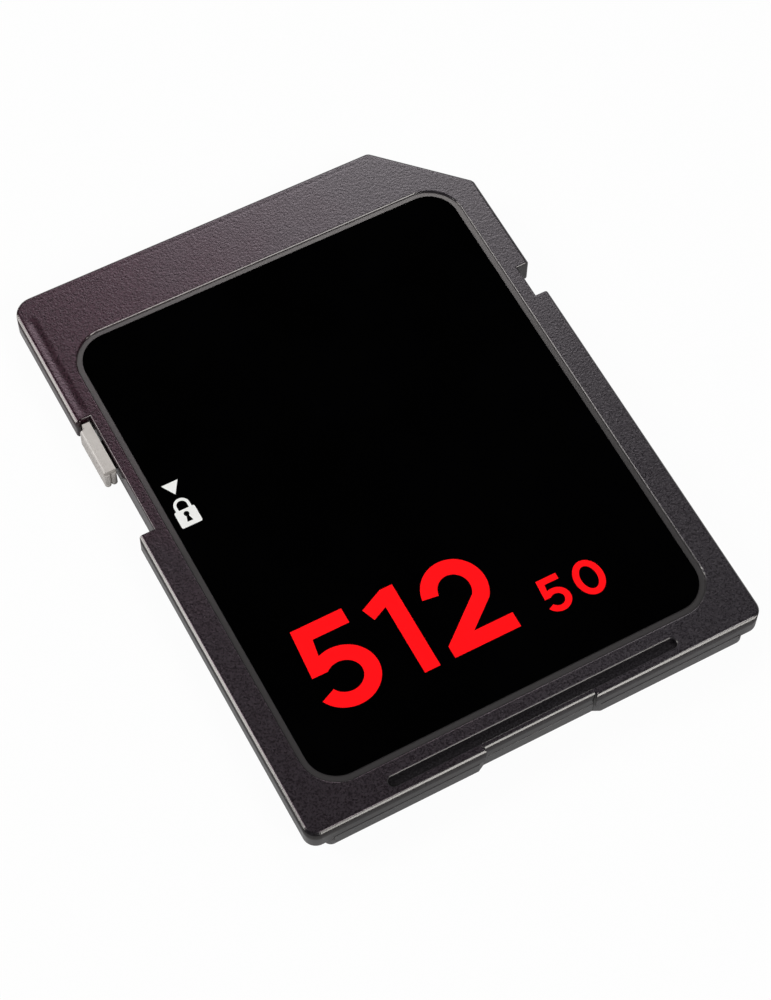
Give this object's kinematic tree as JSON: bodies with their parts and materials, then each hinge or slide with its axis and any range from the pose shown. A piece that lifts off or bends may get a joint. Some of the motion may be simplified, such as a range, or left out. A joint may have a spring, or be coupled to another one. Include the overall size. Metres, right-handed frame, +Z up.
{
  "type": "memory card",
  "caption": "Full-size flash memory card with a cut corner, side rails, a recessed black label, gold contacts in a ribbed comb and a sliding write protect tab.",
  "frame": {"origin": "middle of the back face, on the surface that the card lies on", "axes": "+Y to the contact end, which goes into the socket first; +Z up through the label; +X to the side with the cut corner"},
  "size_m": [0.024, 0.032, 0.0021],
  "materials": {
    "shell": "fine spark-textured moulded plastic, dark plum grey",
    "label": "flat black printed film with a red figure and a grey lock sign",
    "slider": "smooth moulded plastic, warm light grey",
    "board": "solder resist, dark green",
    "contact": "thin hard gold plating",
    "chip": "black moulding compound",
    "capacitor": "fired ceramic, tan",
    "resistor": "glazed film, black"
  },
  "bodies": {
    "card": {"upper_shell": "shell", "lower_shell": "shell", "circuit_board": "board", "memory_chip": "chip", "controller_chip": "chip", "face_label": "label", "contact_1": "contact", "contact_2": "contact", "contact_3": "contact", "contact_4": "contact", "contact_5": "contact", "contact_6": "contact", "contact_7": "contact", "contact_8": "contact", "contact_9": "contact", "capacitor_1": "capacitor", "capacitor_2": "capacitor", "capacitor_3": "capacitor", "capacitor_4": "capacitor", "resistor_1": "resistor", "resistor_2": "resistor", "resistor_3": "resistor"},
    "slider": {"write_protect_slider": "slider"}
  },
  "joints": [
    {"name": "write_protect_slide", "type": "slide", "parent": "card", "child": "slider", "axis": [0, -1, 0], "range_m": [0, 0.0036]}
  ]
}
